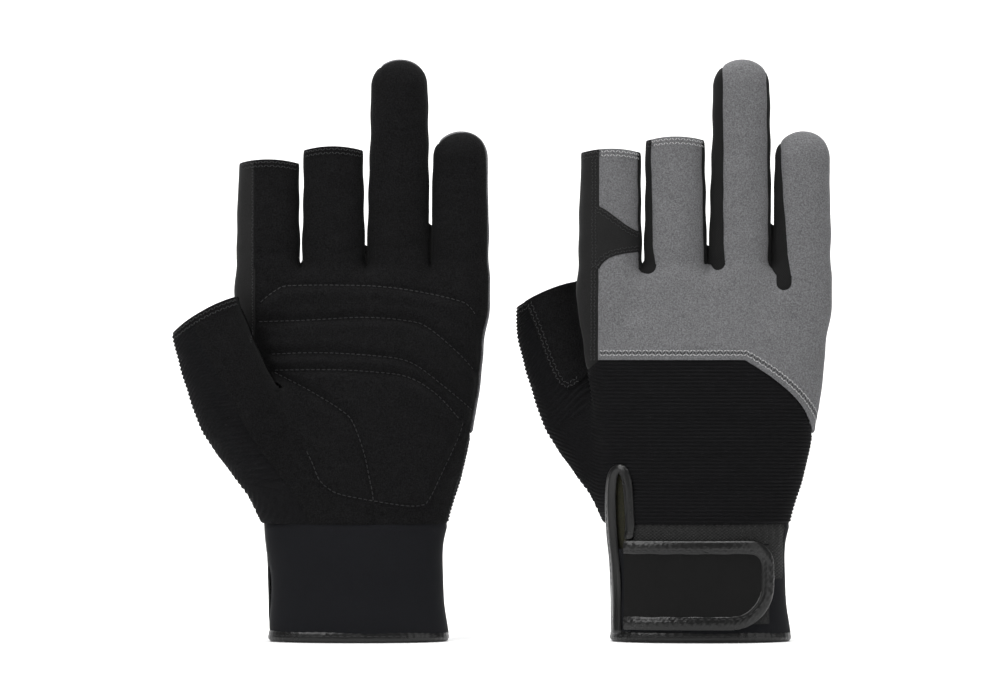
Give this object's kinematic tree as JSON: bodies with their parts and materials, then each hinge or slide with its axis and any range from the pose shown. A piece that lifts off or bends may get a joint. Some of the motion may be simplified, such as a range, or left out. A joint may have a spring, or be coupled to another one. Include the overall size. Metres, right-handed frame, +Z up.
{
  "type": "pair of sailing gloves",
  "caption": "Short-finger sailing gloves with padded suede palms, ribbed backs, neoprene cuffs and wrist straps that open.",
  "frame": {"origin": "on the resting plane, under the middle of the pair's bounding box", "axes": "+Z up towards the fingertips, +X from the left glove to the right glove and from thumb to little finger; the left glove's palm and the right glove's back face -Y"},
  "size_m": [0.2818, 0.067, 0.2502],
  "materials": {
    "palm_suede": "fine napped suede, dry",
    "grey_suede": "grey microfibre suede",
    "rib_knit": "stretch fabric with horizontal ribs",
    "side_leather": "black microfibre suede",
    "finger_side": "black stretch mesh",
    "foam": "closed-cell foam",
    "neoprene": "smooth neoprene faced with jersey",
    "elastic": "woven elastic net",
    "gloss_binding": "glossy grained coated binding tape",
    "loop_pile": "brushed loop pile",
    "strap_fabric": "matt woven fabric",
    "hook_tape": "fine moulded hooks"
  },
  "bodies": {
    "left_hand": {"left_palm_panel": "palm_suede", "left_thenar_panel": "palm_suede", "left_knuckle_panel": "grey_suede", "left_rib_panel": "rib_knit", "left_index_side_panel": "side_leather", "left_crotch_gussets": "finger_side", "left_palm_pads": "foam", "left_cuff_band": "neoprene", "left_cuff_elastic": "elastic", "left_cuff_binding": "gloss_binding", "left_slit_binding": "gloss_binding", "left_loop_patch": "loop_pile"},
    "left_thumb": {"left_thumb_palm": "palm_suede", "left_thumb_back": "palm_suede", "left_thumb_rib": "rib_knit"},
    "left_index": {"left_index_palm": "palm_suede", "left_index_sides": "side_leather", "left_index_back": "grey_suede"},
    "left_middle": {"left_middle_palm": "palm_suede", "left_middle_sides": "finger_side", "left_middle_back": "grey_suede"},
    "left_ring": {"left_ring_palm": "palm_suede", "left_ring_sides": "finger_side", "left_ring_back": "grey_suede"},
    "left_little": {"left_little_palm": "palm_suede", "left_little_sides": "finger_side", "left_little_back": "grey_suede"},
    "left_strap": {"left_strap_panel": "strap_fabric", "left_strap_binding": "gloss_binding", "left_hook_patch": "hook_tape"},
    "right_hand": {"right_palm_panel": "palm_suede", "right_thenar_panel": "palm_suede", "right_knuckle_panel": "grey_suede", "right_rib_panel": "rib_knit", "right_index_side_panel": "side_leather", "right_crotch_gussets": "finger_side", "right_palm_pads": "foam", "right_cuff_band": "neoprene", "right_cuff_elastic": "elastic", "right_cuff_binding": "gloss_binding", "right_slit_binding": "gloss_binding", "right_loop_patch": "loop_pile"},
    "right_thumb": {"right_thumb_palm": "palm_suede", "right_thumb_back": "palm_suede", "right_thumb_rib": "rib_knit"},
    "right_index": {"right_index_palm": "palm_suede", "right_index_sides": "side_leather", "right_index_back": "grey_suede"},
    "right_middle": {"right_middle_palm": "palm_suede", "right_middle_sides": "finger_side", "right_middle_back": "grey_suede"},
    "right_ring": {"right_ring_palm": "palm_suede", "right_ring_sides": "finger_side", "right_ring_back": "grey_suede"},
    "right_little": {"right_little_palm": "palm_suede", "right_little_sides": "finger_side", "right_little_back": "grey_suede"},
    "right_strap": {"right_strap_panel": "strap_fabric", "right_strap_binding": "gloss_binding", "right_hook_patch": "hook_tape"}
  },
  "joints": [
    {"name": "left_index_bend", "type": "hinge", "parent": "left_hand", "child": "left_index", "pos_m": [-0.1012, -0.0066, 0.1715], "axis": [1, 0, 0], "range_deg": [-10, 75], "stiffness_Nm_per_rad": 0.02},
    {"name": "left_middle_bend", "type": "hinge", "parent": "left_hand", "child": "left_middle", "pos_m": [-0.0728, -0.0069, 0.1735], "axis": [1, 0, 0], "range_deg": [-10, 75], "stiffness_Nm_per_rad": 0.02},
    {"name": "left_ring_bend", "type": "hinge", "parent": "left_hand", "child": "left_ring", "pos_m": [-0.0449, -0.0063, 0.1735], "axis": [1, 0, 0], "range_deg": [-10, 75], "stiffness_Nm_per_rad": 0.02},
    {"name": "left_little_bend", "type": "hinge", "parent": "left_hand", "child": "left_little", "pos_m": [-0.0182, -0.0058, 0.1685], "axis": [1, 0, 0], "range_deg": [-10, 75], "stiffness_Nm_per_rad": 0.02},
    {"name": "left_thumb_bend", "type": "hinge", "parent": "left_hand", "child": "left_thumb", "pos_m": [-0.11463, -0.02731, 0.10749], "axis": [0.8746, 0, 0.4848], "range_deg": [0, 50], "stiffness_Nm_per_rad": 0.02},
    {"name": "left_strap_open", "type": "hinge", "parent": "left_hand", "child": "left_strap", "pos_m": [-0.0953, 0.013, 0.0246], "axis": [0, 0, 1], "range_deg": [0, 150]},
    {"name": "right_index_bend", "type": "hinge", "parent": "right_hand", "child": "right_index", "pos_m": [0.0458, 0.0066, 0.1715], "axis": [-1, 0, 0], "range_deg": [-10, 75], "stiffness_Nm_per_rad": 0.02},
    {"name": "right_middle_bend", "type": "hinge", "parent": "right_hand", "child": "right_middle", "pos_m": [0.0742, 0.0069, 0.1735], "axis": [-1, 0, 0], "range_deg": [-10, 75], "stiffness_Nm_per_rad": 0.02},
    {"name": "right_ring_bend", "type": "hinge", "parent": "right_hand", "child": "right_ring", "pos_m": [0.1021, 0.0063, 0.1735], "axis": [-1, 0, 0], "range_deg": [-10, 75], "stiffness_Nm_per_rad": 0.02},
    {"name": "right_little_bend", "type": "hinge", "parent": "right_hand", "child": "right_little", "pos_m": [0.1288, 0.0058, 0.1685], "axis": [-1, 0, 0], "range_deg": [-10, 75], "stiffness_Nm_per_rad": 0.02},
    {"name": "right_thumb_bend", "type": "hinge", "parent": "right_hand", "child": "right_thumb", "pos_m": [0.03237, 0.02731, 0.10749], "axis": [-0.8746, 0, -0.4848], "range_deg": [0, 50], "stiffness_Nm_per_rad": 0.02},
    {"name": "right_strap_open", "type": "hinge", "parent": "right_hand", "child": "right_strap", "pos_m": [0.0517, -0.013, 0.0246], "axis": [0, 0, -1], "range_deg": [0, 150]},
    {"name": "gloves_apart", "type": "slide", "parent": "left_hand", "child": "right_hand", "axis": [1, 0, 0], "range_m": [0, 0.1]}
  ]
}
